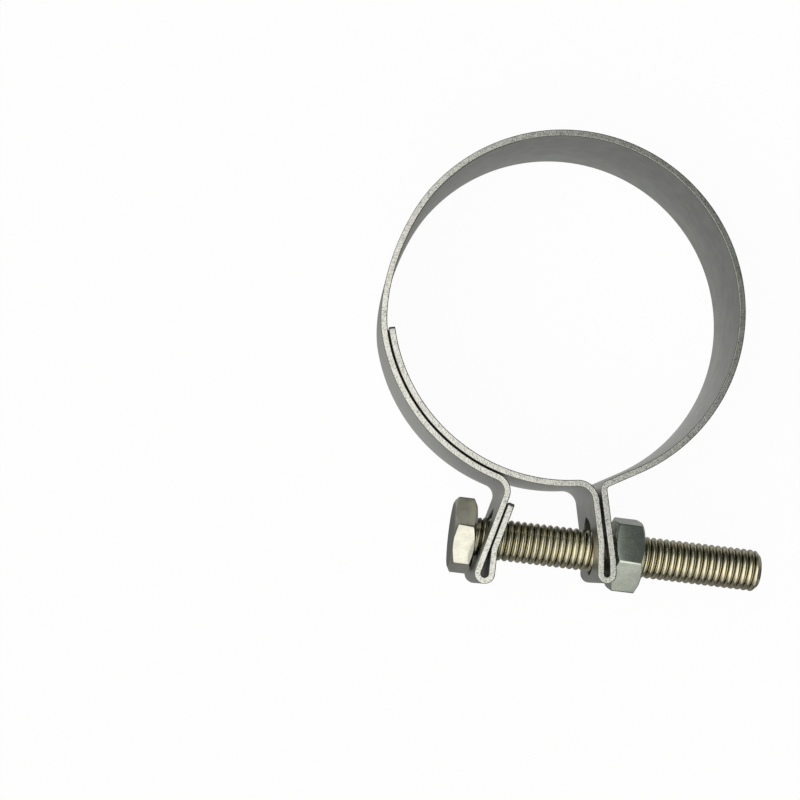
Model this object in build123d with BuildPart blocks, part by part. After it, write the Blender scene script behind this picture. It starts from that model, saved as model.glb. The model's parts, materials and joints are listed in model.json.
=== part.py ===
from build123d import *
import os

os.makedirs("parts", exist_ok=True)

# Folded band clamp, in millimetres.
# The bore axis is Z and the band's lower edge lies on Z = 0.
# The bolt runs along X below the ring, with its head on the -X side.

# Strip
strip_width = 20.0
strip_thickness = 1.2
end_corner_radius = 1.8

# Bore: the tongue and the bridge lie on it, the ring stands just outside
bore_radius = 32.5
ring_ease = 0.25
tongue_gap = 0.27

# Angles round the bore, in degrees, counter-clockwise from +X
tongue_end_angle = 193.8
bridge_end_angle = 279.5
ring_start_angle = -60.0
lap_ease_start = 146.0
lap_ease_end = 197.0
lap_end_angle = 254.4

# Ear on the nut side
bridge_bend_radius = 3.4
nut_ear_lean = 13.2
inner_ply_length = 7.9
inner_knee_angle = 8.3
inner_foot_length = 5.3
nut_fold_radius = 1.14
nut_fold_turn = 182.1
outer_knee_angle = 6.4
outer_foot_length = 2.3
ring_bend_radius = 1.25
knee_radius = 4.0

# Ear on the head side
lap_bend_radius = 2.8
head_ear_lean = 14.4
head_ply_length = 14.7
head_fold_radius = 1.3
free_foot_length = 4.1
free_ply_length = 8.6

# Slotted bolt holes through both plies of each ear
slot_width = 9.0
nut_slot_above_bolt = 6.3
head_slot_above_bolt = 5.5
slot_below_bolt = 4.5

# Bolt and nut
bolt_below_bore = 12.0
thread_diameter = 7.9
thread_clearance = 0.05
across_flats = 13.0
head_height = 4.3
bolt_length = 55.0
tip_chamfer = 0.9
nut_height = 5.6
corner_chamfer_depth = 0.75
face_diameter = 12.35
chamfer_cut_margin = 1.0
head_turn = -17.0
nut_turn = 18.5
seat_gap = 0.05
nut_countersink = 0.5

# Working values
ply = strip_thickness / 2
bore_path_radius = bore_radius + ply
ring_path_radius = bore_radius + ring_ease + ply
lap_path_radius = bore_radius + strip_thickness + tongue_gap + ply
bolt_axis_y = -bore_radius - bolt_below_bore
bolt_axis_z = strip_width / 2
bolt_axis = Axis((0, bolt_axis_y, bolt_axis_z), (1, 0, 0))
shank_radius = thread_diameter / 2
nut_bore_radius = shank_radius + thread_clearance
corner_radius = across_flats / 2 / 0.8660254
chamfer_cut_radius = corner_radius + chamfer_cut_margin
ease_start = Vector(ring_path_radius, 0).rotate(Axis.Z, lap_ease_start)
ease_end = Vector(lap_path_radius, 0).rotate(Axis.Z, lap_ease_end)
ease_start_dir = Vector(0, 1).rotate(Axis.Z, lap_ease_start)
ease_end_dir = Vector(0, 1).rotate(Axis.Z, lap_ease_end)

# Middle line of the strip, from the tongue's free end to the head ear's free end
with BuildLine() as strip_line:
    tongue = CenterArc((0, 0), bore_path_radius, tongue_end_angle, bridge_end_angle - tongue_end_angle)
    bridge_turn = bridge_end_angle - 180 - nut_ear_lean
    bridge_bend = JernArc(tongue @ 1, tongue % 1, bridge_bend_radius, -bridge_turn)
    inner_ply = Line(bridge_bend @ 1, bridge_bend @ 1 + (bridge_bend % 1) * inner_ply_length)
    inner_knee = JernArc(inner_ply @ 1, inner_ply % 1, knee_radius, -inner_knee_angle)
    inner_foot = Line(inner_knee @ 1, inner_knee @ 1 + (inner_knee % 1) * inner_foot_length)

    nut_fold = JernArc(inner_foot @ 1, inner_foot % 1, nut_fold_radius, nut_fold_turn)
    outer_foot = Line(nut_fold @ 1, nut_fold @ 1 + (nut_fold % 1) * outer_foot_length)
    outer_knee = JernArc(outer_foot @ 1, outer_foot % 1, knee_radius, outer_knee_angle)

    ring = CenterArc((0, 0), ring_path_radius, ring_start_angle, lap_ease_start - ring_start_angle)
    knee_to_ring = ring @ 0 - outer_knee @ 1
    rise = outer_knee % 1
    lead = ring % 0
    reach = (knee_to_ring.X * lead.Y - knee_to_ring.Y * lead.X) / (rise.X * lead.Y - rise.Y * lead.X)
    ring_corner = outer_knee @ 1 + rise * reach
    outer_ply = FilletPolyline(outer_knee @ 1, ring_corner, ring @ 0, radius=ring_bend_radius)

    lap_ease = Spline(ease_start, ease_end, tangents=(ease_start_dir, ease_end_dir))
    lap = CenterArc((0, 0), lap_path_radius, lap_ease_end, lap_end_angle - lap_ease_end)
    lap_turn = lap_end_angle - 180 + head_ear_lean
    lap_bend = JernArc(lap @ 1, lap % 1, lap_bend_radius, -lap_turn)
    head_ply = Line(lap_bend @ 1, lap_bend @ 1 + (lap_bend % 1) * head_ply_length)
    head_fold = JernArc(head_ply @ 1, head_ply % 1, head_fold_radius, 180 + head_ear_lean)
    free_foot = Line(head_fold @ 1, head_fold @ 1 + (head_fold % 1) * free_foot_length)
    free_knee = JernArc(free_foot @ 1, free_foot % 1, knee_radius, -head_ear_lean)
    free_ply = Line(free_knee @ 1, free_knee @ 1 + (free_knee % 1) * free_ply_length)

head_seat_x = head_fold.bounding_box().min.X - ply - seat_gap
nut_seat_x = outer_foot.bounding_box().max.X + ply + seat_gap
head_end_x = head_seat_x - head_height
tip_x = head_seat_x + bolt_length
nut_end_x = nut_seat_x + nut_height
ear_gap_x = (head_seat_x + nut_seat_x) / 2
nut_slot_length = nut_slot_above_bolt + slot_below_bolt
nut_slot_y = bolt_axis_y - slot_below_bolt + nut_slot_length / 2
head_slot_length = head_slot_above_bolt + slot_below_bolt
head_slot_y = bolt_axis_y - slot_below_bolt + head_slot_length / 2
end_plane = Plane(origin=tongue @ 0, x_dir=(0, 0, 1), z_dir=tongue % 0)

# One-piece band: the strip's section swept along its middle line
with BuildPart() as band:
    with BuildSketch(end_plane):
        Rectangle(strip_width, strip_thickness, align=(Align.MIN, Align.CENTER))
    sweep(path=strip_line.wires()[0])
    with BuildSketch(Plane.YZ.offset(ear_gap_x)):
        with Locations((nut_slot_y, bolt_axis_z)):
            SlotOverall(nut_slot_length, slot_width)
    extrude(amount=nut_end_x - ear_gap_x, mode=Mode.SUBTRACT)
    with BuildSketch(Plane.YZ.offset(ear_gap_x)):
        with Locations((head_slot_y, bolt_axis_z)):
            SlotOverall(head_slot_length, slot_width)
    extrude(amount=head_end_x - ear_gap_x, mode=Mode.SUBTRACT)
    end_corners = band.edges().filter_by(GeomType.LINE)
    end_corners = end_corners.filter_by(lambda edge: abs(edge.length - strip_thickness) < 0.001)
    fillet(end_corners, radius=end_corner_radius)
band.part.label = "band"

# Bolt: hexagon head and shank
with BuildPart() as bolt:
    with BuildSketch(Plane.YZ.offset(head_end_x)):
        with Locations((bolt_axis_y, bolt_axis_z)):
            RegularPolygon(across_flats / 2, 6, major_radius=False, rotation=-head_turn)
    extrude(amount=head_height)
    with BuildSketch(Plane.XY.offset(bolt_axis_z)):
        with BuildLine():
            Polyline(
                (head_end_x, bolt_axis_y + face_diameter / 2),
                (head_end_x, bolt_axis_y + chamfer_cut_radius),
                (head_end_x + corner_chamfer_depth, bolt_axis_y + chamfer_cut_radius),
                (head_end_x + corner_chamfer_depth, bolt_axis_y + corner_radius),
                close=True,
            )
        make_face()
    revolve(axis=bolt_axis, mode=Mode.SUBTRACT)
    with BuildSketch(Plane.YZ.offset(head_seat_x)):
        with Locations((bolt_axis_y, bolt_axis_z)):
            Circle(shank_radius)
    extrude(amount=bolt_length)
    chamfer(bolt.faces().sort_by(Axis.X)[-1].edges(), length=tip_chamfer)
bolt.part.label = "bolt"

# Nut: hexagon with both faces chamfered and a bore that clears the shank
with BuildPart() as nut:
    with BuildSketch(Plane.YZ.offset(nut_seat_x)):
        with Locations((bolt_axis_y, bolt_axis_z)):
            RegularPolygon(across_flats / 2, 6, major_radius=False, rotation=-nut_turn)
            Circle(nut_bore_radius, mode=Mode.SUBTRACT)
    extrude(amount=nut_height)
    with BuildSketch(Plane.XY.offset(bolt_axis_z)):
        with BuildLine():
            Polyline(
                (nut_seat_x, bolt_axis_y + face_diameter / 2),
                (nut_seat_x, bolt_axis_y + chamfer_cut_radius),
                (nut_seat_x + corner_chamfer_depth, bolt_axis_y + chamfer_cut_radius),
                (nut_seat_x + corner_chamfer_depth, bolt_axis_y + corner_radius),
                close=True,
            )
            Polyline(
                (nut_end_x, bolt_axis_y + face_diameter / 2),
                (nut_end_x, bolt_axis_y + chamfer_cut_radius),
                (nut_end_x - corner_chamfer_depth, bolt_axis_y + chamfer_cut_radius),
                (nut_end_x - corner_chamfer_depth, bolt_axis_y + corner_radius),
                close=True,
            )
        make_face()
    revolve(axis=bolt_axis, mode=Mode.SUBTRACT)
    mouths = nut.edges().filter_by(GeomType.CIRCLE)
    mouths = mouths.filter_by(lambda edge: abs(edge.radius - nut_bore_radius) < 0.001)
    chamfer(mouths, length=nut_countersink)
nut.part.label = "nut"

export_step(band.part, "parts/band.step")
export_step(bolt.part, "parts/bolt.step")
export_step(nut.part, "parts/nut.step")
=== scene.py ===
import json
import bmesh
import bpy
import numpy as np
from mathutils import Matrix, Vector


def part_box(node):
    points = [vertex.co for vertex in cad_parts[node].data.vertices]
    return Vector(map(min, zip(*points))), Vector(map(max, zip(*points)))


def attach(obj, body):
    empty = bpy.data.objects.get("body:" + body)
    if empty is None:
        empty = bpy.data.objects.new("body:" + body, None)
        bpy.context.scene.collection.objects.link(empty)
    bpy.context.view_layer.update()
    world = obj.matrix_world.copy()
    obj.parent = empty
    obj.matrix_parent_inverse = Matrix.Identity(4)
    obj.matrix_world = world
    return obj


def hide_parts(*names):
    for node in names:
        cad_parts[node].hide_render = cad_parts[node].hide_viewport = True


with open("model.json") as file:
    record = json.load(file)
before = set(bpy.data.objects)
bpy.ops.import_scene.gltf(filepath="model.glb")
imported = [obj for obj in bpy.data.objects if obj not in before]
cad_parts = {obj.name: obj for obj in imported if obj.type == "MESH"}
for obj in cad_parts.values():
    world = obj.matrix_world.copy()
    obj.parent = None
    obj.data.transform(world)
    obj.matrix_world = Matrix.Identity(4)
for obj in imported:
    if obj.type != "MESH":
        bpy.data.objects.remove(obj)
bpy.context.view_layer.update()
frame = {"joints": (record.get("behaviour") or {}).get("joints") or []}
mm = 0.001


# Shader maths

class Sock:
    # an output socket; arithmetic on it adds Math nodes to its tree
    def __init__(self, tree, socket):
        self.tree = tree
        self.socket = socket

    def maths(self, operation, *values):
        return self.tree.node("ShaderNodeMath", {"operation": operation}, dict(enumerate(values)))

    def __add__(self, other):
        return self.maths("ADD", self, other)

    def __radd__(self, other):
        return self.maths("ADD", other, self)

    def __sub__(self, other):
        return self.maths("SUBTRACT", self, other)

    def __rsub__(self, other):
        return self.maths("SUBTRACT", other, self)

    def __mul__(self, other):
        return self.maths("MULTIPLY", self, other)

    def __rmul__(self, other):
        return self.maths("MULTIPLY", other, self)

    def __abs__(self):
        return self.maths("ABSOLUTE", self)

    def most(self, other):
        return self.maths("MAXIMUM", self, other)

    def rise(self, start, end):
        # 0 below start, 1 above end, smooth between; falls if end is below start
        low, high = min(start, end), max(start, end)
        ends = {"To Min": 0.0, "To Max": 1.0} if end > start else {"To Min": 1.0, "To Max": 0.0}
        return self.tree.node("ShaderNodeMapRange", {"interpolation_type": "SMOOTHSTEP"},
                              {"Value": self, "From Min": low, "From Max": high, **ends})


class Tree:
    # the node tree of a material or of the world
    def __init__(self, owner):
        owner.use_nodes = True
        self.nodes = owner.node_tree.nodes
        self.links = owner.node_tree.links
        self.nodes.clear()

    def node(self, kind, settings=None, values=None, out=0):
        # settings are set first, then the values or links of the inputs
        made = self.nodes.new(kind)
        for key, value in (settings or {}).items():
            setattr(made, key, value)
        for key, value in (values or {}).items():
            if isinstance(value, Sock):
                self.links.new(value.socket, made.inputs[key])
            else:
                made.inputs[key].default_value = value
        return Sock(self, made.outputs[out]) if len(made.outputs) else None

    def colour(self, factor, first, second):
        # first where the factor is 0, second where it is 1
        pair = {"Factor": factor}
        for key, value in ((6, first), (7, second)):
            pair[key] = value if isinstance(value, Sock) else (*value, 1.0)
        return self.node("ShaderNodeMix", {"data_type": "RGBA"}, pair, out=2)

    def parts(self, vector):
        split = self.node("ShaderNodeSeparateXYZ", None, {"Vector": vector})
        return [Sock(self, split.socket.node.outputs[i]) for i in range(3)]

    def stretched(self, vector, scale):
        return self.node("ShaderNodeVectorMath", {"operation": "MULTIPLY"}, {0: vector, 1: scale})

    def shifted(self, vector, place):
        return self.node("ShaderNodeVectorMath", {"operation": "SUBTRACT"}, {0: vector, 1: place})

    def length(self, vector):
        return self.node("ShaderNodeVectorMath", {"operation": "LENGTH"}, {0: vector}, out=1)

    def noise(self, vector, scale, detail, roughness):
        return self.node("ShaderNodeTexNoise", None, {
            "Vector": vector, "Scale": scale, "Detail": detail, "Roughness": roughness})


# Meshes

meshing = {
    "weld": 1e-7,             # metres; points closer than this become one
    "collapsed": 1e-8,        # metres; shorter edges are dissolved
    "sharpAngle": 38.0,       # degrees; edges that turn more than this stay sharp
}


def weldedMesh(name, points, faces, attributes=None):
    # points in metres; welds the seams and drops what they collapse
    mesh = bpy.data.meshes.new(name)
    mesh.from_pydata(points.tolist(), [], faces.tolist())
    for key, values in (attributes or {}).items():
        mesh.attributes.new(key, "FLOAT_VECTOR", "POINT")
        mesh.attributes[key].data.foreach_set("vector", values.astype(np.float32).ravel())
    shape = bmesh.new()
    shape.from_mesh(mesh)
    bmesh.ops.remove_doubles(shape, verts=shape.verts, dist=meshing["weld"])
    bmesh.ops.dissolve_degenerate(shape, edges=shape.edges, dist=meshing["collapsed"])
    bmesh.ops.recalc_face_normals(shape, faces=shape.faces)
    openEdges = sum(1 for edge in shape.edges if not edge.is_manifold)
    print(name, "points", len(shape.verts), "faces", len(shape.faces), "open edges", openEdges)
    shape.to_mesh(mesh)
    shape.free()
    return mesh


def meshFrom(name, points, faces, body, attributes=None):
    # a piece that rides on a body; points in millimetres, already in the frame
    mesh = weldedMesh(name, np.asarray(points) * mm, faces, attributes)
    mesh.shade_smooth()
    mesh.set_sharp_from_angle(angle=np.radians(meshing["sharpAngle"]))
    piece = bpy.data.objects.new(name, mesh)
    bpy.context.scene.collection.objects.link(piece)
    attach(piece, body)
    return piece


def gridFaces(rows, columns, wrap, first=0, keep=None):
    # quads of a grid of points counted row by row; wrap joins the last column to the first
    i, j = np.meshgrid(np.arange(rows - 1), np.arange(columns if wrap else columns - 1), indexing="ij")
    after = (j + 1) % columns
    corners = (i * columns + j, i * columns + after, (i + 1) * columns + after, (i + 1) * columns + j)
    quads = np.stack(corners, -1).reshape(-1, 4) + first
    return quads if keep is None else quads[keep.ravel()]


def joined(*grids):
    # the points and faces of several grids as those of one mesh
    points, faces, first = [], [], 0
    for grid, quads in grids:
        points.append(grid.reshape(-1, 3))
        faces.append(quads + first)
        first += len(points[-1])
    return np.concatenate(points), np.concatenate(faces)


# Band: one strip carried along its middle line

band = {  # millimetres, degrees
    "width": 20.0,
    "thickness": 1.2,
    "rimRound": 0.12,         # rounding of the two long rims
    "endRound": 0.2,          # rounding of the cut ends, through the thickness
    "endCorner": 0.6,         # corner radius of the cut ends
    "holeRound": 0.14,        # rounding of the punched holes' edges
    "boreRadius": 32.5,
    "ringEase": 0.25,
    "tongueGap": 0.27,
    "tongueEnd": 193.8,
    "bridgeEnd": 279.5,
    "ringStart": -60.0,
    "easeStart": 146.0,
    "easeEnd": 197.0,
    "easePull": 0.895,        # tangent length of the easing curve, as a share of its chord
    "lapEnd": 254.4,
    "bridgeBend": 3.4,
    "nutEarLean": 13.2,
    "innerPly": 7.9,
    "innerKnee": 8.3,
    "innerFoot": 5.3,
    "nutFold": 1.14,
    "nutFoldTurn": 182.1,
    "outerFoot": 2.3,
    "outerKnee": 6.4,
    "ringBend": 1.25,
    "kneeRadius": 4.0,
    "lapBend": 2.8,
    "headEarLean": 14.4,
    "headPly": 14.7,
    "headFold": 1.3,
    "freeFoot": 4.1,
    "freePly": 8.6,
    "holeWidth": 9.0,
    "nutHoleTop": 6.3,        # above the bolt's axis
    "headHoleTop": 5.5,
    "holeBottom": 4.5,        # below the bolt's axis
    "rowTurn": 0.085,         # radians that the strip bends from row to row
    "rowLeast": 0.12,         # shortest and longest way between rows
    "rowMost": 0.7,
    "rowMerge": 0.004,        # rows closer than this to the one before are dropped
    "roundRows": 9,           # rows in a quarter round of the ends and the holes
    "wallRows": 6,            # rows along a hole's straight walls
    "rimColumns": 5,          # columns in the rounding of a rim
    "rimFlat": 0.85,          # share of a rim's flat part that its shading leaves quite flat
    "rimShare": 0.6,          # most of the half thickness that a rim's rounding takes
    "holeFull": 0.5,          # half width from which a hole's edge has its full rounding
    "faceShares": (0.06, 0.2, 0.4, 0.6, 0.8, 0.94, 0.985),  # columns of a face, from the hole to the rim
}

hinge = next(joint for joint in frame["joints"] if joint["name"] == "bolt_turn")
boltAxis = np.array(hinge["pos_m"]) / mm
headEnd, boltTip = [corner.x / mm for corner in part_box("bolt")]
nutSeat, nutEnd = [corner.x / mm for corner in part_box("nut")]


def along(heading):
    # unit vector of a heading in degrees, counter-clockwise from +X
    angle = np.radians(heading)
    return np.stack([np.cos(angle), np.sin(angle)], -1)


def leftOf(heading):
    # unit vector to the left of a heading
    return along(np.asarray(heading) + 90.0)


lineSteps = {
    "straight": 0.05,         # millimetres between the points of a straight run
    "bend": 1.5,              # degrees times millimetres of radius between those of a bend
    "bendLeast": 24,          # points of a bend
    "ease": 600,              # points of the easing curve
    "same": 1e-7,             # millimetres; points closer than this to the one before are dropped
    "flattest": 1e-6,         # least bend taken for a row's step, radians for each millimetre
}


class StripLine:
    # the middle line of the strip: points and headings of runs that join smoothly
    def __init__(self, point, heading):
        self.point = np.array(point, float)
        self.heading = heading
        self.points = []
        self.headings = []

    def add(self, points, headings):
        self.points.append(points)
        self.headings.append(headings)
        self.point = points[-1]
        self.heading = headings[-1]

    def straight(self, length):
        # point + t * direction
        t = np.linspace(0.0, length, max(2, int(length / lineSteps["straight"])))
        self.add(self.point + t[:, None] * along(self.heading), np.full(len(t), self.heading))

    def bend(self, radius, turn):
        # centre - side * radius * left of the heading, where the heading grows with the turn
        side = np.sign(turn)
        count = max(lineSteps["bendLeast"], int(abs(turn) * radius / lineSteps["bend"]))
        headings = self.heading + np.linspace(0.0, turn, count)
        centre = self.point + side * radius * leftOf(self.heading)
        self.add(centre - side * radius * leftOf(headings), headings)

    def ease(self, end, heading, pull):
        # Hermite curve to a point, with tangents of pull times its chord
        t = np.linspace(0.0, 1.0, lineSteps["ease"])[:, None]
        reach = pull * np.linalg.norm(end - self.point)
        start, startPull, endPull = self.point, reach * along(self.heading), reach * along(heading)
        points = ((2 * t**3 - 3 * t**2 + 1) * start + (t**3 - 2 * t**2 + t) * startPull
                  + (3 * t**2 - 2 * t**3) * end + (t**3 - t**2) * endPull)
        slope = ((6 * t**2 - 6 * t) * start + (3 * t**2 - 4 * t + 1) * startPull
                 + (6 * t - 6 * t**2) * end + (3 * t**2 - 2 * t) * endPull)
        turned = np.degrees(np.unwrap(np.arctan2(slope[:, 1], slope[:, 0])))
        turned += 360.0 * np.round((self.heading - turned[0]) / 360.0)
        self.add(points, turned)


def bandLine():
    # returns distance along the strip, place and heading of its middle line
    half = band["thickness"] / 2
    bore = band["boreRadius"] + half
    ring = bore + band["ringEase"]
    lap = bore + band["thickness"] + band["tongueGap"]
    line = StripLine(bore * along(band["tongueEnd"]), band["tongueEnd"] + 90.0)
    line.bend(bore, band["bridgeEnd"] - band["tongueEnd"])
    line.bend(band["bridgeBend"], -(band["bridgeEnd"] - 180.0 - band["nutEarLean"]))
    line.straight(band["innerPly"])
    line.bend(band["kneeRadius"], -band["innerKnee"])
    line.straight(band["innerFoot"])
    line.bend(band["nutFold"], band["nutFoldTurn"])
    line.straight(band["outerFoot"])
    line.bend(band["kneeRadius"], band["outerKnee"])
    # the outer ply and the ring's lead-in meet in a rounded corner
    ringPoint = ring * along(band["ringStart"])
    lead = along(band["ringStart"] + 90.0)
    rise = along(line.heading)
    gap = ringPoint - line.point
    reach = (gap[0] * lead[1] - gap[1] * lead[0]) / (rise[0] * lead[1] - rise[1] * lead[0])
    turn = line.heading - (band["ringStart"] + 450.0)
    cut = band["ringBend"] * np.tan(np.radians(turn) / 2)
    line.straight(reach - cut)
    line.bend(band["ringBend"], -turn)
    line.straight(np.linalg.norm(ringPoint - line.point))
    line.bend(ring, band["easeStart"] - band["ringStart"])
    line.ease(lap * along(band["easeEnd"]), band["easeEnd"] + 90.0 + 360.0, band["easePull"])
    line.bend(lap, band["lapEnd"] - band["easeEnd"])
    line.bend(band["lapBend"], -(band["lapEnd"] - 180.0 + band["headEarLean"]))
    line.straight(band["headPly"])
    line.bend(band["headFold"], 180.0 + band["headEarLean"])
    line.straight(band["freeFoot"])
    line.bend(band["kneeRadius"], -band["headEarLean"])
    line.straight(band["freePly"])
    points, headings = np.concatenate(line.points), np.concatenate(line.headings)
    step = np.linalg.norm(np.diff(points, axis=0), axis=1)
    fresh = np.r_[True, step > lineSteps["same"]]
    distance = np.r_[0.0, np.cumsum(step)]
    return distance[fresh], points[fresh], headings[fresh]


def holeHalf(x, y):
    # half width across the strip of the hole whose walls run along X, 0 outside it
    radius = band["holeWidth"] / 2
    above = np.where(x > (headEnd + nutEnd) / 2, band["nutHoleTop"], band["headHoleTop"])
    high = boltAxis[1] + above - radius
    low = boltAxis[1] - band["holeBottom"] + radius
    past = np.maximum(np.maximum(y - high, low - y), 0.0)
    return np.sqrt(np.maximum(radius**2 - past**2, 0.0))


def bandRows(distance, points, headings):
    # where the cross-sections stand: closer in the bends, at the holes' ends and at the cut ends
    bend = np.abs(np.gradient(np.radians(headings), distance))
    bend = np.maximum(bend, lineSteps["flattest"])
    step = np.clip(band["rowTurn"] / bend, band["rowLeast"], band["rowMost"])
    count = np.cumsum(np.r_[0.0, np.diff(distance) / step[1:]])
    rows = [np.interp(np.linspace(0.0, count[-1], int(count[-1])), count, distance)]
    quarter = 1 - np.cos(np.radians(np.linspace(0.0, 90.0, band["roundRows"])))
    for size in (band["endRound"], band["endCorner"]):
        rows += [quarter * size, distance[-1] - quarter * size]
    radius = band["holeWidth"] / 2
    y = points[:, 1]
    for top, here in ((band["nutHoleTop"], points[:, 0] > 0), (band["headHoleTop"], points[:, 0] < 0)):
        heights = np.r_[boltAxis[1] - band["holeBottom"] + quarter * radius,
                        boltAxis[1] + top - quarter * radius,
                        np.linspace(boltAxis[1], boltAxis[1] + top - radius, band["wallRows"])]
        for height in heights:
            cross = np.flatnonzero(((y[1:] - height) * (y[:-1] - height) <= 0) & here[1:])
            rows.append(distance[cross + 1])
    rows = np.unique(np.concatenate(rows))
    return rows[np.r_[True, np.diff(rows) > band["rowMerge"]]]


def bandSection(half, top, hole):
    # the upper half of each row's section, as places through the thickness and up the strip: from the
    # hole's wall over the inner face, round the rim and back over the outer face
    rim = np.minimum(band["rimRound"], half * band["rimShare"])
    edge = band["holeRound"] * np.minimum(1.0, hole / band["holeFull"])
    across, up = [], []
    for side in (1, -1):
        n, z = [], []
        for angle in np.radians((0.0, 45.0, 90.0)):
            n.append(half - edge * (1 - np.sin(angle)))
            z.append(band["width"] / 2 + hole + edge * (1 - np.cos(angle)))
        low, high = z[-1], top - rim
        for share in band["faceShares"]:
            n.append(half)
            z.append(low + (high - low) * share)
        for angle in np.radians(np.linspace(0.0, 90.0, band["rimColumns"])):
            n.append(half - rim * (1 - np.cos(angle)))
            z.append(high + rim * np.sin(angle))
        n.append((half - rim) * band["rimFlat"])
        z.append(high + rim)
        order = slice(None) if side == 1 else slice(None, None, -1)
        across += [side * v for v in n[order]]
        up += z[order]
    return np.stack(across, -1), np.stack(up, -1)


def makeBand():
    distance, points, headings = bandLine()
    rows = bandRows(distance, points, headings)
    place = np.stack([np.interp(rows, distance, points[:, k]) for k in (0, 1)], -1)
    left = leftOf(np.interp(rows, distance, headings))
    fromEnd = np.minimum(rows, rows[-1] - rows)

    def cutBack(size):
        # how far a quarter round of this size has come in at each row
        return size - np.sqrt(np.maximum(size**2 - np.maximum(size - fromEnd, 0.0)**2, 0.0))

    hole = holeHalf(place[:, 0], place[:, 1])
    half = band["thickness"] / 2 - cutBack(band["endRound"])
    across, up = bandSection(half, band["width"] - cutBack(band["endCorner"]), hole)
    count, columns = across.shape
    # the last column of faces is the hole's wall, and stands only where there is a hole
    keep = np.ones((count - 1, columns), bool)
    keep[:, -1] = (hole[1:] > 0) | (hole[:-1] > 0)
    j = np.arange(columns // 2 - 1)
    # unrolled holds each point's place on the flat strip, which the finish reads
    halves, faces, unrolled = [], [], []
    for z in (up, band["width"] - up):
        first = len(halves) * count * columns
        xy = place[:, None, :] + across[:, :, None] * left[:, None, :]
        halves.append(np.concatenate([xy, z[:, :, None]], -1).reshape(-1, 3))
        unrolled.append(np.stack([np.broadcast_to(rows[:, None], z.shape), z, across], -1).reshape(-1, 3))
        # quads across the thickness close the two cut ends
        for row in (0, count - 1):
            low = first + row * columns + j
            high = first + (row + 1) * columns - 1 - j
            faces.append(np.stack([low, low + 1, high - 1, high], -1))
        faces.append(gridFaces(count, columns, True, first, keep))
    piece = meshFrom("band_strip", np.concatenate(halves), np.concatenate(faces), "band",
                     {"strip": np.concatenate(unrolled)})
    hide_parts("band")
    piece.data.materials.append(bandSteel())
    print("band made, strip length mm", round(float(rows[-1]), 1), "rows", count)


# Bolt and nut: hexagons and an M8 x 1.25 thread

fastener = {  # millimetres, degrees
    "acrossFlats": 13.0,
    "headHeight": 4.3,
    "headTurn": -17.0,        # lean of the head's top flat from +Z towards +Y
    "nutTurn": 18.5,
    "cornerRound": 0.45,      # rounding of the hexagon's six long edges
    "faceDiameter": 12.35,    # where the corner chamfer starts on the end face
    "chamferSlope": 0.5635,   # chamfer depth for each millimetre outwards
    "edgeSoft": 0.12,         # width of the softened edges of the chamfer
    "headDish": ((0.1, 0.0), (0.1, 2.2), (0.06, 3.6), (0.01, 4.6)),  # (depth, radius) of the head's hollow
    "seatRing": 0.6,          # width of the faces round the neck
    "crestRadius": 3.95,
    "rootRadius": 3.27,
    "pitch": 1.25,
    "crestShape": 0.6,        # 1 for a cosine, less for a broader crest and a tighter root
    "threadSteps": 16,        # rows for each pitch
    "spareThread": 0.2,       # rows kept past both ends of a thread, where they lie flat on its end
    "neckRadius": 3.6,
    "neckLength": 0.25,
    "tipChamfer": 0.9,
    "tipDish": ((0.0, 0.0), (0.0, 0.1), (0.05, 0.4), (0.12, 1.525), (0.14, 3.05)),  # (depth, way in)
    "threadPlay": 0.07,       # how far the nut's thread stands off the bolt's
    "nutBore": 3.4,
    "nutMouth": 4.45,
    "mouthRing": 0.08,        # width of the faces round the nut's mouths
    "columnStep": 4.0,
    "cornerColumns": (-2.6, -1.7, -0.85, 0.0, 0.85, 1.7, 2.6),  # further columns, from each corner
    "columnClear": 1.2,       # even columns closer than this to those are left out
}


def hexRadius(angle, turn):
    # distance from the axis to a hexagon with rounded corners; angle 0 is +Z, 90 is +Y
    flat = fastener["acrossFlats"] / 2
    small = fastener["cornerRound"]
    away = np.radians(np.abs((angle - turn + 30.0) % 60.0 - 30.0))
    corner = (flat - small) / np.cos(np.radians(30.0))
    start = np.arctan((flat - small) * np.tan(np.radians(30.0)) / flat)
    off = np.radians(30.0) - away
    rounded = corner * np.cos(off) + np.sqrt(np.maximum(small**2 - (corner * np.sin(off))**2, 0.0))
    return np.where(away < start, flat / np.cos(away), rounded)


def turnAngles(turn):
    # columns round the axis: even ones, with more at the hexagon's corners
    corners = turn + 30.0 + 60.0 * np.arange(6)
    near = (corners[:, None] + np.array(fastener["cornerColumns"])).ravel() % 360.0
    even = (turn + np.arange(0.0, 360.0, fastener["columnStep"])) % 360.0
    apart = np.abs((even[:, None] - near[None, :] + 180.0) % 360.0 - 180.0).min(1)
    return np.sort(np.r_[even[apart > fastener["columnClear"]], near])


def ringed(x, radius, angles):
    # points at height x along the axis, radius out from it, angle 0 up and 90 towards +Y
    turned = np.radians(angles)
    x, radius, turned = np.broadcast_arrays(x, radius, turned)
    return np.stack([x, boltAxis[1] + radius * np.sin(turned), boltAxis[2] + radius * np.cos(turned)], -1)


def ringGrid(rows, angles):
    # a closed grid of rings; a row is (place along the axis, radius), single or one for each angle
    flat = np.zeros(len(angles))
    x, radius = [np.stack([flat + row[k] for row in rows]) for k in (0, 1)]
    return ringed(x, radius, angles[None, :]), gridFaces(len(rows), len(angles), True)


def crestDistance(phase):
    # distance along the axis to the nearest crest
    half = fastener["pitch"] / 2
    return np.abs((phase + half) % fastener["pitch"] - half)


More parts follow.
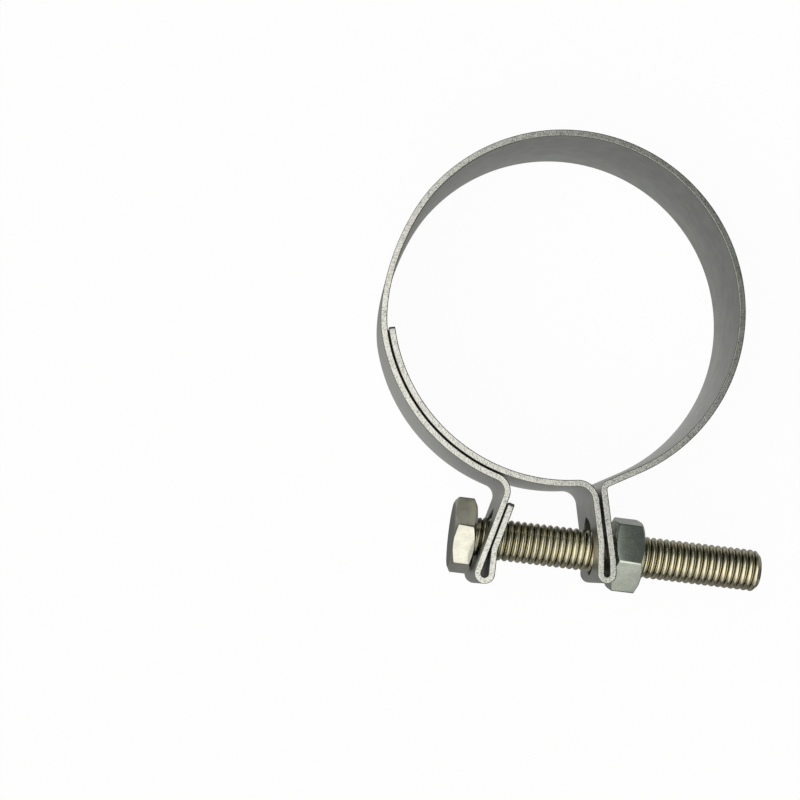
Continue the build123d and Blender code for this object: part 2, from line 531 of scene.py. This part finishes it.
def threadGrid(start, end, angles, radiusLaw):
    # a grid whose rows follow the helix: x = row + pitch * angle / 360, held between start and end.
    # The height is 1 on the crest and 0 in the root: cos(pi * distance / pitch) to a power
    pitch, spare = fastener["pitch"], fastener["spareThread"]
    turns = np.arange(np.floor(start / pitch) - 2, np.ceil(end / pitch) + 2)
    steps = np.arange(0.0, 1.0, 1.0 / fastener["threadSteps"]) * pitch
    rows = (turns[:, None] * pitch + steps[None, :]).ravel()
    rows = rows[(rows > start - pitch - spare) & (rows < end + spare)]
    around = np.r_[angles, angles[0] + 360.0][None, :]
    x = np.clip(rows[:, None] + pitch * around / 360.0, start, end)
    fromCrest = crestDistance(x - pitch * around / 360.0)
    height = np.cos(np.pi * fromCrest / pitch)**fastener["crestShape"]
    grid = ringed(x, radiusLaw(x, height), around), gridFaces(*x.shape, False)
    marks = np.stack([fromCrest, height, np.zeros_like(height)], -1).reshape(-1, 3)
    return grid, marks


def boltRadius(x, height):
    # thread with a plain neck under the head and a chamfered tip
    crest, root, neck = fastener["crestRadius"], fastener["rootRadius"], fastener["neckRadius"]
    thread = root + (crest - root) * height
    seat = headEnd + fastener["headHeight"]
    share = np.clip((x - seat - fastener["neckLength"]) / fastener["pitch"], 0.0, 1.0)
    thread = neck + (thread - neck) * share * share * (3 - 2 * share)
    tip = crest - fastener["tipChamfer"] + (boltTip - x)
    return np.minimum(thread, tip)


def nutRadius(x, height):
    # the bolt's thread with some play, opened out at both mouths
    crest, root, play = fastener["crestRadius"], fastener["rootRadius"], fastener["threadPlay"]
    thread = np.maximum(root + (crest - root) * height + play, fastener["nutBore"])
    mouth = fastener["nutMouth"] - np.minimum(x - nutSeat, nutEnd - x)
    return np.maximum(thread, mouth)


def chamferRows(outline, outward, end):
    # rings at one end of a hexagon: the face's edge, the chamfer's two softened edges, the flats
    face = fastener["faceDiameter"] / 2
    soft = fastener["edgeSoft"]
    drop = np.maximum(outline - face, 0.0) * fastener["chamferSlope"]
    rings = [(0.0, face - soft), (soft / 10, face), (soft / 2, face + soft * 3 / 4),
             (drop - soft * 7 / 12, outline - soft), (drop + soft / 12, outline - soft / 6),
             (drop + soft * 3 / 4, outline)]
    return [(end - outward * depth, radius) for depth, radius in rings]


def hexRows(angles, turn, start, end):
    # rings of a hexagon from its face at start to its face at end
    outline = hexRadius(angles, turn)
    return chamferRows(outline, -1, start) + chamferRows(outline, 1, end)[::-1]


def makeBolt():
    turn = fastener["headTurn"]
    angles = turnAngles(turn)
    seat = headEnd + fastener["headHeight"]
    neck = fastener["neckRadius"]
    rows = [(headEnd + depth, radius) for depth, radius in fastener["headDish"]]
    rows += hexRows(angles, turn, headEnd, seat)
    rows += [(seat, neck + fastener["seatRing"]), (seat, neck)]
    tipRadius = fastener["crestRadius"] - fastener["tipChamfer"]
    dish = [(boltTip - depth, tipRadius - inward) for depth, inward in fastener["tipDish"]]
    head, tip = ringGrid(rows, angles), ringGrid(dish, angles)
    thread, marks = threadGrid(seat, boltTip, angles, boltRadius)
    points, faces = joined(head, thread, tip)
    # head and tip are marked as crest, clear of the seam that runs along the crests
    plain = [np.tile((1.0, 1.0, 0.0), (grid[0].size // 3, 1)) for grid in (head, tip)]
    marks = np.concatenate([plain[0], marks, plain[1]])
    piece = meshFrom("hex_bolt", points, faces, "bolt", {"thread": marks})
    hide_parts("bolt")
    piece.data.materials.append(boltSteel())
    print("bolt made, head from", round(headEnd, 2), "tip at", round(boltTip, 2))


def makeNut():
    turn = fastener["nutTurn"]
    angles = turnAngles(turn)
    mouth, edge = fastener["nutMouth"], fastener["nutMouth"] + fastener["mouthRing"]
    rows = [(nutSeat, mouth), (nutSeat, edge)] + hexRows(angles, turn, nutSeat, nutEnd)
    rows += [(nutEnd, edge), (nutEnd, mouth)]
    thread = threadGrid(nutSeat, nutEnd, angles, nutRadius)[0]
    points, faces = joined(ringGrid(rows, angles), thread)
    piece = meshFrom("hex_nut", points, faces, "nut")
    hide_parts("nut")
    piece.data.materials.append(nutSteel())
    print("nut made, from", round(nutSeat, 2), "to", round(nutEnd, 2))


# Finishes

noiseKind = {  # octaves and roughness of each noise
    "grain": (4.0, 0.6),
    "blotch": (3.0, 0.6),
    "speckle": (3.0, 0.65),
    "pits": (4.0, 0.7),
    "strokes": (4.0, 0.7),
    "cloud": (3.0, 0.6),
    "boltFine": (3.0, 0.6),
    "nutFine": (3.0, 0.55),
    "specks": (2.0, 0.6),
}

bandFinish = {
    "colour": (0.555, 0.57, 0.55),
    "tones": (0.92, 1.06),         # its darkest and lightest share
    "rough": 0.33,
    "grainRough": 0.12,            # how much the grain changes the roughness
    "pitColour": (0.25, 0.25, 0.24),
    "pitShare": 0.3,
    "rimColour": (0.72, 0.72, 0.68),
    "rimDark": (0.16, 0.165, 0.155),  # shear marks and burrs on the rims
    "rimRough": 0.2,
    "rimStart": (9.78, 9.9),       # mm from the strip's middle line
    "shearShare": 0.75,
    "shearRamp": (0.47, 0.62),     # noise values where the marks start and are full
    "burrShare": 0.9,
    "burrRamp": (0.1, 0.35),
    "burrFrom": (9.7, 9.78),       # mm from the middle line
    "burrThrough": (0.45, 0.5),    # mm from the middle of the thickness
    "grainCells": (0.35, 5.0, 1.0),   # noise cells for each mm along, across and through the strip
    "pitCells": (1.36, 1.7, 1.7),
    "pitRamp": (0.66, 0.74),
    "shearCells": (4.6, 0.6, 1.5),
    "shearSlant": 0.6,             # radians
    "blotchCells": 0.35,
    "blotchRamp": (0.3, 0.7),
    "speckleCells": 3.6,
    "shearMix": (0.8, 0.2),        # shares of strokes and blotches in the shear marks
    "grainRelief": 0.25,           # heights of the finish, as shares of bumpDepth
    "speckleRelief": 0.2,
    "rimRelief": 0.05,             # more speckle on the rims
    "shearRelief": 0.12,
    "pitRelief": 0.5,
    "bump": 0.5,
    "bumpDepth": 0.0001,           # metres
}

boltFinish = {
    "headColour": (0.655, 0.645, 0.565),
    "threadColour": (0.73, 0.68, 0.5),
    # dark brown: painted shade in the thread's root, and the mark of the rolling seam on the crests
    "rootShadeAndSeamColour": (0.26, 0.22, 0.13),
    "rootShadeShare": 0.9,              # share of painted shade in the thread's root
    "rootRamp": (0.75, 0.1),       # heights between which it comes in
    "seamShare": 0.7,              # in the rolling seam along the crests
    "seamWidth": (0.07, 0.03),     # mm from the crest
    "seamRamp": (0.35, 0.5),
    "cloudShade": 0.7,             # of the head's colour, in the clouds
    "cloudShare": 0.5,
    "cloudRamp": (0.65, 0.35),
    "cloudCells": 0.45,            # noise cells for each mm
    "fineCells": 2.2,
    "facePaintedShade": 0.3,              # of the head's colour, left on its end face as painted shade
    "faceDepth": (0.4, 0.1),       # mm from the end where it starts and is full
    "faceRadius": (6.3, 6.1),
    "faceRough": 0.15,
    "neckPaintedShade": 0.4,              # of the thread's colour, left beside the head: painted shade between the head and the ear
    "neckEnd": (1.8, 3.2),         # mm from the seat
    "seatBlend": (-0.05, 0.05),    # mm from the seat, where the head's colour ends
    "rough": 0.15,
    "fineRough": 0.12,
    "bump": 0.3,
    "bumpDepth": 0.00003,          # metres
}

nutFinish = {
    "colour": (0.6, 0.65, 0.58),
    "tones": (0.9, 1.05),          # its darkest and lightest share
    "cloudCells": 0.5,             # noise cells for each mm
    "cloudRamp": (0.35, 0.65),
    "fineCells": 1.1,
    "speckColour": (0.85, 0.87, 0.83),
    "speckShare": 0.25,
    "speckCells": 2.6,
    "speckRamp": (0.62, 0.7),
    "rough": 0.27,
    "fineRough": 0.12,
    "bump": 0.12,
    "bumpDepth": 0.00003,          # metres
}


def scaled(colour, share):
    return tuple(share * part for part in colour)


def metal(tree, finish, colour, rough, height):
    # colour and roughness vary over the surface, height goes through Bump
    bump = tree.node("ShaderNodeBump", None, {
        "Strength": finish["bump"], "Distance": finish["bumpDepth"], "Height": height})
    shader = tree.node("ShaderNodeBsdfPrincipled", None, {
        "Base Color": colour, "Metallic": 1.0, "Roughness": rough, "Normal": bump})
    tree.node("ShaderNodeOutputMaterial", None, {"Surface": shader})


def bandSteel():
    # satin rolled strip; the strip attribute is (distance along, height, through the thickness) in mm
    material = bpy.data.materials.new("band_steel_satin")
    tree = Tree(material)
    look = bandFinish
    strip = tree.node("ShaderNodeAttribute", {"attribute_name": "strip"}, None, out=1)
    height, through = tree.parts(strip)[1:]
    fromMiddle = abs(height - band["width"] / 2)
    rim = fromMiddle.rise(*look["rimStart"])
    burr = abs(through).rise(*look["burrThrough"]) * fromMiddle.rise(*look["burrFrom"])
    grain = tree.noise(tree.stretched(strip, look["grainCells"]), 1.0, *noiseKind["grain"])
    blotch = tree.noise(strip, look["blotchCells"], *noiseKind["blotch"])
    speckle = tree.noise(strip, look["speckleCells"], *noiseKind["speckle"])
    pits = tree.noise(tree.stretched(strip, look["pitCells"]), 1.0, *noiseKind["pits"])
    pits = pits.rise(*look["pitRamp"])
    slanted = tree.node("ShaderNodeVectorRotate", {"rotation_type": "Y_AXIS"}, {
        "Vector": strip, "Angle": look["shearSlant"]})
    strokes = tree.noise(tree.stretched(slanted, look["shearCells"]), 1.0, *noiseKind["strokes"])
    shear = strokes * look["shearMix"][0] + blotch * look["shearMix"][1]
    dark, light = [scaled(look["colour"], tone) for tone in look["tones"]]
    tone = tree.colour(blotch.rise(*look["blotchRamp"]), dark, light)
    tone = tree.colour(pits * look["pitShare"], tone, look["pitColour"])
    marks = shear.rise(*look["shearRamp"]) * look["shearShare"]
    tone = tree.colour(rim, tone, tree.colour(marks, look["rimColour"], look["rimDark"]))
    tone = tree.colour(burr * speckle.rise(*look["burrRamp"]) * look["burrShare"], tone, look["rimDark"])
    rough = look["rough"] + (grain - 0.5) * look["grainRough"] + rim * (look["rimRough"] - look["rough"])
    relief = grain * look["grainRelief"] + speckle * (look["speckleRelief"] + rim * look["rimRelief"])
    relief = relief - shear * rim * look["shearRelief"] - pits * look["pitRelief"]
    metal(tree, look, tone, rough, relief)
    return material


def boltSteel():
    # bright, faintly straw-coloured steel, with painted shade in the thread's root, on the head's end face
    # and on the thread beside the head; the thread attribute is (mm from the crest, height, 0)
    material = bpy.data.materials.new("bolt_steel_bright")
    tree = Tree(material)
    look = boltFinish
    where = tree.node("ShaderNodeTexCoord", None, None, out=3)
    place = tree.stretched(tree.shifted(where, tuple(boltAxis * mm)), (1 / mm, 1 / mm, 1 / mm))
    fromEnd = tree.parts(place)[0] + (boltAxis[0] - headEnd)
    fromSeat = fromEnd - fastener["headHeight"]
    offAxis = tree.length(tree.stretched(place, (0.0, 1.0, 1.0)))
    cloud = tree.noise(place, look["cloudCells"], *noiseKind["cloud"])
    fine = tree.noise(place, look["fineCells"], *noiseKind["boltFine"])
    # painted shade on the thread beside the head, between the head and the ear
    shade = scaled(look["threadColour"], look["neckPaintedShade"])
    crest = tree.colour(fromSeat.rise(*look["neckEnd"]), shade, look["threadColour"])
    mark = tree.node("ShaderNodeAttribute", {"attribute_name": "thread"}, None, out=1)
    fromCrest, height = tree.parts(mark)[:2]
    seam = fromCrest.rise(*look["seamWidth"]) * cloud.rise(*look["seamRamp"]) * look["seamShare"]
    # the root's darker colour is painted shade in the thread's recess; the seam is a mark along the crests
    root = height.rise(*look["rootRamp"]) * look["rootShadeShare"]
    thread = tree.colour(root.most(seam), crest, look["rootShadeAndSeamColour"])
    tone = tree.colour(fromSeat.rise(*look["seatBlend"]), look["headColour"], thread)
    shade = scaled(look["headColour"], look["cloudShade"])
    tone = tree.colour(cloud.rise(*look["cloudRamp"]) * look["cloudShare"], tone, shade)
    # painted shade on the head's end face, which is also given a duller roughness
    endFace = fromEnd.rise(*look["faceDepth"]) * offAxis.rise(*look["faceRadius"])
    tone = tree.colour(endFace, tone, scaled(look["headColour"], look["facePaintedShade"]))
    rough = look["rough"] + (fine - 0.5) * look["fineRough"] + endFace * look["faceRough"]
    metal(tree, look, tone, rough, fine + cloud)
    return material


def nutSteel():
    # tumbled, faintly speckled steel
    material = bpy.data.materials.new("nut_steel_tumbled")
    tree = Tree(material)
    look = nutFinish
    where = tree.node("ShaderNodeTexCoord", None, None, out=3)
    place = tree.stretched(where, (1 / mm, 1 / mm, 1 / mm))
    cloud = tree.noise(place, look["cloudCells"], *noiseKind["cloud"])
    fine = tree.noise(place, look["fineCells"], *noiseKind["nutFine"])
    specks = tree.noise(place, look["speckCells"], *noiseKind["specks"]).rise(*look["speckRamp"])
    dark, light = [scaled(look["colour"], tone) for tone in look["tones"]]
    tone = tree.colour(cloud.rise(*look["cloudRamp"]), dark, light)
    tone = tree.colour(specks * look["speckShare"], tone, look["speckColour"])
    rough = look["rough"] + (fine - 0.5) * look["fineRough"]
    metal(tree, look, tone, rough, fine)
    return material


# Studio

studio = {
    "floorRings": (0.0, 0.05, 0.1, 0.2, 0.5, 1.0),  # shares of the radius
    "floorStep": 7.5,         # degrees
    "floorRadius": 1.6,       # metres
    "floorDrop": 0.0002,
    "floorPaper": (0.9, 0.9, 0.9, 1.0),
    "floorWhite": 0.96,       # share of plain white in what the camera sees of the floor
    "glowColour": (1.0, 1.0, 0.97, 1.0),
    "glowBehind": 0.24,      # brightness of the floor's painted glow, which only the metal's reflections see, behind the ring and below the bolt
    "glowFront": 0.42,       # and below the ring's front half
    "frontFade": ((12.0, -22.0), (-43.0, -26.0)),  # mm along Y where that comes in and goes
    "glowBeside": 0.1,       # painted brighter glow added close to the ring's wall
    "besideFade": (5.0, 0.5),  # mm from the wall
    "glowLoss": 0.6,         # share lost further away
    "lossFade": (50.0, 130.0),  # mm from the middle
    "boxEdge": 0.2,           # edge of the overhead light, as x + boxSlant * y of a direction
    "boxSlant": 0.5,
    "boxSoft": 0.07,
    "boxEnd": (66.0, 18.0),   # lean to the back, degrees, where the light ends and is full
    "boxLight": 1.25,         # straight overhead
    "boxPeak": 1.5,           # its brightest part, leaning to the front
    "peakFade": (-80.0, -42.0),  # lean where the peak comes in
    "lightFade": (-6.0, 16.0),   # and goes
    "frontLight": 0.68,
    "backLight": 0.11,
    "farLight": 0.05,
    "farFade": (40.0, 85.0),
    "boxColour": (1.0, 0.985, 0.93),
    "roomColour": (0.92, 1.0, 0.94),
}

camera = {  # the photograph's viewpoint
    "focal": 1638.6,          # focal length in pixels of a frame 800 wide
    "frame": 800.0,
    "sensor": 36.0,
    "clip": (0.01, 20.0),     # metres
    "turn": (-6.09, 2.80, -6.97),   # rotation vector from the frame to the camera, degrees
    "shift": (30.21, 15.46, -326.90),  # the frame's origin as the camera sees it, mm
}


def makeCamera():
    turn = Vector(np.radians(camera["turn"]))
    seen = Matrix.Rotation(turn.length, 3, turn.normalized())
    back = seen.transposed()
    place = -(back @ (Vector(camera["shift"]) * mm))
    lens = bpy.data.cameras.new("camera")
    lens.sensor_width = camera["sensor"]
    lens.lens = camera["focal"] / camera["frame"] * camera["sensor"]
    lens.clip_start, lens.clip_end = camera["clip"]
    eye = bpy.data.objects.new("camera", lens)
    eye.matrix_world = Matrix.Translation(place) @ back.to_4x4()
    bpy.context.scene.collection.objects.link(eye)
    bpy.context.scene.camera = eye


def makeFloor():
    # disc: radius * (cos, sin) on rings
    rings = np.array(studio["floorRings"])[:, None] * studio["floorRadius"]
    around = np.radians(np.arange(0.0, 360.0, studio["floorStep"]))[None, :]
    low = np.full((len(rings), around.shape[1]), -studio["floorDrop"])
    points = np.stack([rings * np.cos(around), rings * np.sin(around), low], -1).reshape(-1, 3)
    mesh = weldedMesh("floor", points, gridFaces(len(rings), around.shape[1], True))
    floor = bpy.data.objects.new("floor", mesh)
    bpy.context.scene.collection.objects.link(floor)
    material = bpy.data.materials.new("floor_paper")
    tree = Tree(material)
    rays = tree.node("ShaderNodeLightPath").socket.node.outputs
    cameraRay, glossyRay = [Sock(tree, rays[key]) for key in ("Is Camera Ray", "Is Glossy Ray")]
    place = tree.stretched(tree.node("ShaderNodeTexCoord", None, None, out=3), (1 / mm, 1 / mm, 0.0))
    y = tree.parts(place)[1]
    comes, goes = studio["frontFade"]
    front = y.rise(*comes) * y.rise(*goes)
    fromMiddle = tree.length(place)
    beside = abs(fromMiddle - band["boreRadius"]).rise(*studio["besideFade"])
    # what the metal reflects of the floor is a painted glow: an emission seen only by glossy rays, brighter
    # in front and beside the ring's wall
    reflectedGlow = studio["glowBehind"] + front * (studio["glowFront"] - studio["glowBehind"])
    reflectedGlow = reflectedGlow + beside * studio["glowBeside"]
    reflectedGlow = reflectedGlow * (1.0 - fromMiddle.rise(*studio["lossFade"]) * studio["glowLoss"])
    paper = tree.node("ShaderNodeBsdfDiffuse", None, {"Color": studio["floorPaper"]})
    white = tree.node("ShaderNodeEmission", None, {"Color": (1.0, 1.0, 1.0, 1.0), "Strength": 1.0})
    glossyGlow = tree.node("ShaderNodeEmission", None, {"Color": studio["glowColour"], "Strength": reflectedGlow})
    seen = tree.node("ShaderNodeMixShader", None, {0: cameraRay * studio["floorWhite"], 1: paper, 2: white})
    both = tree.node("ShaderNodeMixShader", None, {0: glossyRay, 1: seen, 2: glossyGlow})
    tree.node("ShaderNodeOutputMaterial", None, {"Surface": both})
    mesh.materials.append(material)


def makeLight():
    # the room by direction: a broad light overhead and in front, dim behind and to the right
    world = bpy.data.worlds.new("studio")
    bpy.context.scene.world = world
    tree = Tree(world)
    x, y, z = tree.parts(tree.node("ShaderNodeTexCoord"))
    # degrees that a direction leans from straight up to the back
    lean = tree.node("ShaderNodeMath", {"operation": "ARCTAN2"}, {0: y, 1: z}) * (180.0 / np.pi)
    front, peak, over = studio["frontLight"], studio["boxPeak"], studio["boxLight"]
    box = front + lean.rise(*studio["peakFade"]) * (peak - front)
    box = box - lean.rise(*studio["lightFade"]) * (peak - over)
    back, far = studio["backLight"], studio["farLight"]
    room = back - lean.rise(*studio["farFade"]) * (back - far)
    edge, soft = studio["boxEdge"], studio["boxSoft"]
    inBox = (x + y * studio["boxSlant"]).rise(edge + soft, edge - soft) * lean.rise(*studio["boxEnd"])
    level = room + inBox * (box - room)
    colour = tree.colour(inBox, studio["roomColour"], studio["boxColour"])
    # the camera itself sees plain white
    cameraRay = tree.node("ShaderNodeLightPath")
    level = level + cameraRay * (1.0 - level)
    colour = tree.colour(cameraRay, colour, (1.0, 1.0, 1.0))
    sky = tree.node("ShaderNodeBackground", None, {"Color": colour, "Strength": level})
    tree.node("ShaderNodeOutputWorld", None, {"Surface": sky})


scene = bpy.context.scene
scene.view_settings.view_transform = "Standard"
makeCamera()
makeFloor()
makeLight()
makeBand()
makeBolt()
makeNut()
